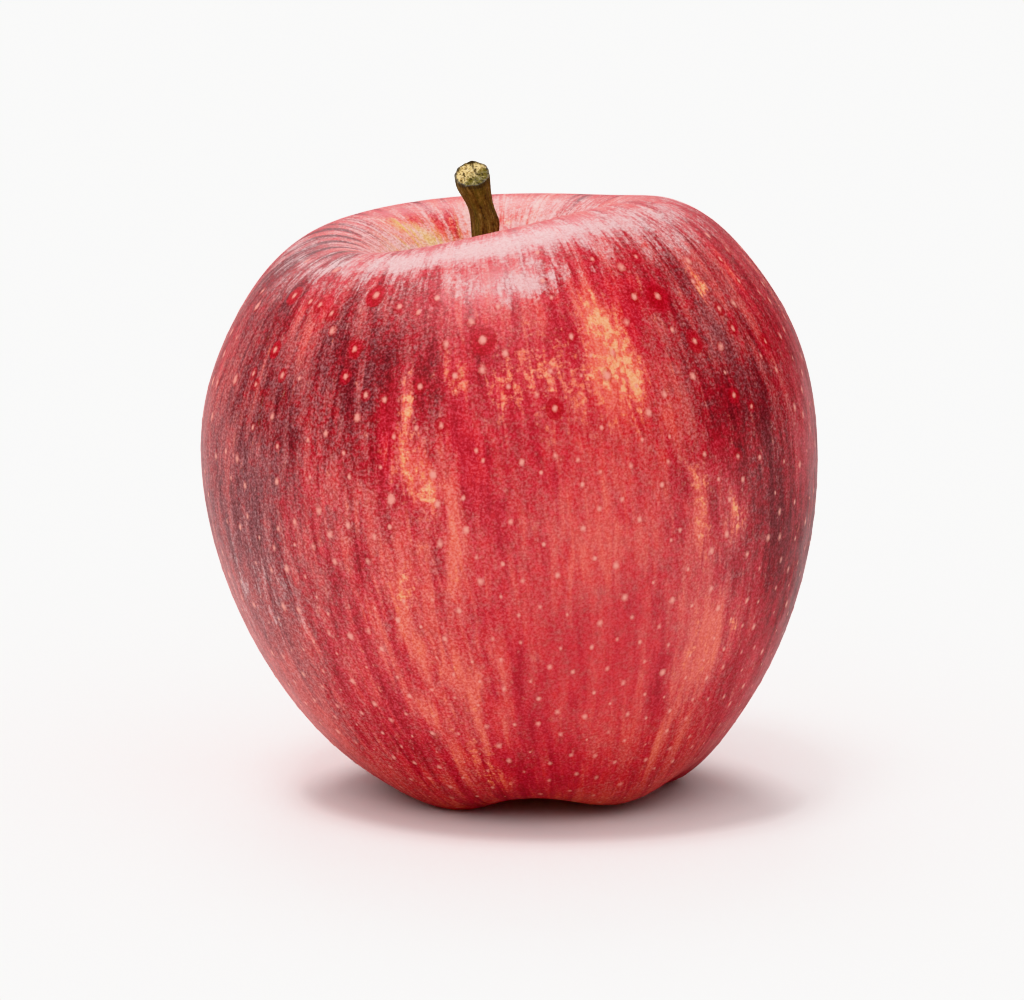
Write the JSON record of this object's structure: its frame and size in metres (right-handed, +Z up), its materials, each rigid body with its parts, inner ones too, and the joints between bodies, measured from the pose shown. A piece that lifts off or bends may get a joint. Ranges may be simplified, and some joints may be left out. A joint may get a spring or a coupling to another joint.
{
  "type": "red apple",
  "caption": "Ripe red eating apple, tall and five-lobed, with a short dry stalk in a deep cavity and a dried calyx beneath; it rests on three base lobes.",
  "frame": {"origin": "middle of the apple's bounding box on the surface it rests on", "axes": "+Z up; the core line leans 6.5 degrees from +Z towards -X, and -Y is the front, where the shoulder round the stalk is lowest"},
  "size_m": [0.075, 0.0758, 0.0767],
  "materials": {
    "apple_skin": "thin waxed skin, glossy",
    "stalk_bark": "dry bark, dull",
    "dry_sepal": "dry leaf, dull",
    "dry_stamen": "dry fibre, dull"
  },
  "bodies": {
    "root": {"fruit": "apple_skin", "stem": "stalk_bark", "calyx": "dry_sepal", "stamens": "dry_stamen"}
  },
  "joints": []
}
